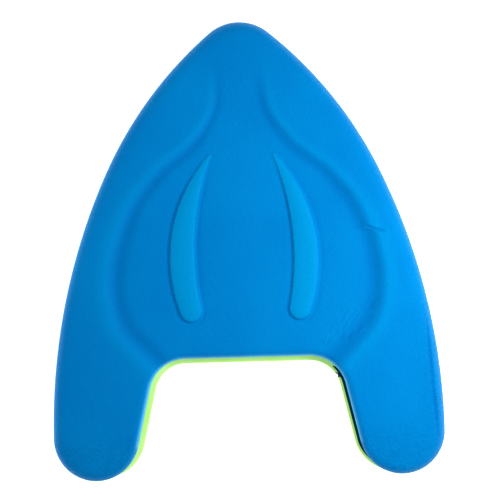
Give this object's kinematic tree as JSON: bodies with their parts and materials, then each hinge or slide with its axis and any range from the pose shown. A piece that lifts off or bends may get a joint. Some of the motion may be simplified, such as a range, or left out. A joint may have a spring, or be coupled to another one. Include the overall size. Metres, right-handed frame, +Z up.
{
  "type": "kickboard float",
  "caption": "Delta-shaped swimming kickboard with a deep tail notch between two legs, a sunk moulded grip panel with ridges, and a two-colour foam laminate.",
  "frame": {"origin": "on the floor under the middle of the board's outline", "axes": "+Y towards the nose, +X to the swimmer's right, +Z up out of the deck"},
  "size_m": [0.3696, 0.43, 0.034],
  "materials": {
    "deck_skin": "soft satin closed-cell foam skin",
    "foam_core": "matt expanded foam",
    "base_skin": "matt closed-cell foam skin"
  },
  "bodies": {
    "root": {"deck_skin": "deck_skin", "foam_core": "foam_core", "base_skin": "base_skin"}
  },
  "joints": []
}
